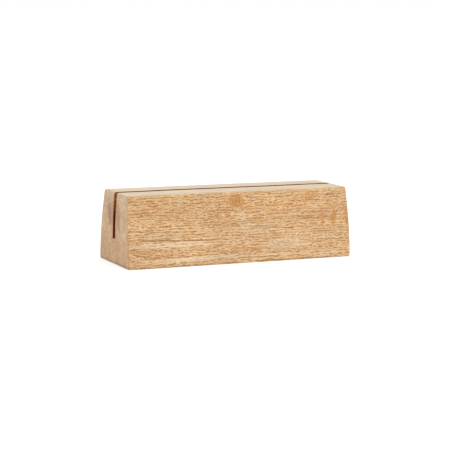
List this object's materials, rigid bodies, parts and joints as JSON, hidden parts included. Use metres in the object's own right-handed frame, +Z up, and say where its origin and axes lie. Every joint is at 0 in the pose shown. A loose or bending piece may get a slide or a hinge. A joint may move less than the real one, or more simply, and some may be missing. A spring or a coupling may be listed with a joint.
{
  "type": "photo block holder",
  "caption": "Solid wooden block, wider at the foot than at the top, with a narrow slot sawn along its length that holds a print or card upright.",
  "frame": {"origin": "centre of the block's foot, on the surface that it stands on", "axes": "+X along the length, +Y from the front face to the back face, +Z up"},
  "size_m": [0.1502, 0.0514, 0.044],
  "materials": {
    "natural_wood": "sanded, left matt"
  },
  "bodies": {
    "root": {"block": "natural_wood"}
  },
  "joints": []
}
